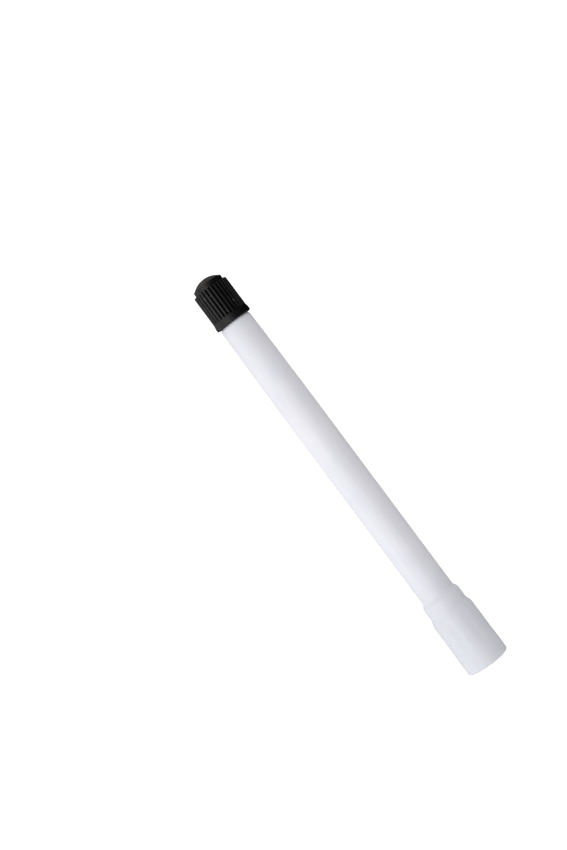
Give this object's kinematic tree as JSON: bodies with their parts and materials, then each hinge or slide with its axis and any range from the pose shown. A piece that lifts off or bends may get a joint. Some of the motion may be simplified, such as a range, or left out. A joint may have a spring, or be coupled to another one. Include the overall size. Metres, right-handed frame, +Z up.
{
  "type": "tyre valve extension",
  "caption": "Straight white plastic tyre valve extension with a stepped collar with low flats, a sprung push rod inside and a black ribbed dust cap screwed on its tip.",
  "frame": {"origin": "centre of the collar's mouth face, where the tyre valve goes in", "axes": "+X along the tube's axis from the collar's mouth to the dust cap, +Z up with the object lying on its side"},
  "size_m": [0.1178, 0.0118, 0.0118],
  "materials": {
    "white_plastic": "satin, slightly translucent moulded plastic",
    "black_plastic": "satin moulded plastic",
    "brass": "turned",
    "steel": "turned",
    "rubber": "matt",
    "natural_nylon": "satin moulded plastic"
  },
  "bodies": {
    "extension": {"body_tube": "white_plastic", "base_insert": "brass", "base_gasket": "rubber", "lower_guide": "natural_nylon", "spring_seat": "brass", "return_spring": "steel", "tip_nipple": "brass"},
    "rod": {"push_rod": "natural_nylon", "rod_foot": "brass", "head_pin": "steel", "head_seal": "rubber"},
    "seal": {"cap_seal": "rubber"},
    "cap": {"dust_cap": "black_plastic"}
  },
  "joints": [
    {"name": "rod_press", "type": "slide", "parent": "extension", "child": "rod", "axis": [-1, 0, 0], "range_m": [0, 0.0015], "stiffness_N_per_m": 200, "springref_m": -0.003, "deforming": ["return_spring"]},
    {"name": "cap_lift", "type": "slide", "parent": "extension", "child": "seal", "axis": [1, 0, 0], "range_m": [0, 0.01032]},
    {"name": "cap_turn", "type": "hinge", "parent": "seal", "child": "cap", "pos_m": [0.1051, 0, 0], "axis": [1, 0, 0], "range_deg": [0, 4680]}
  ],
  "couplings": [
    {"joint": "cap_turn", "follows": "cap_lift", "rad_per_m": 7915.8}
  ]
}
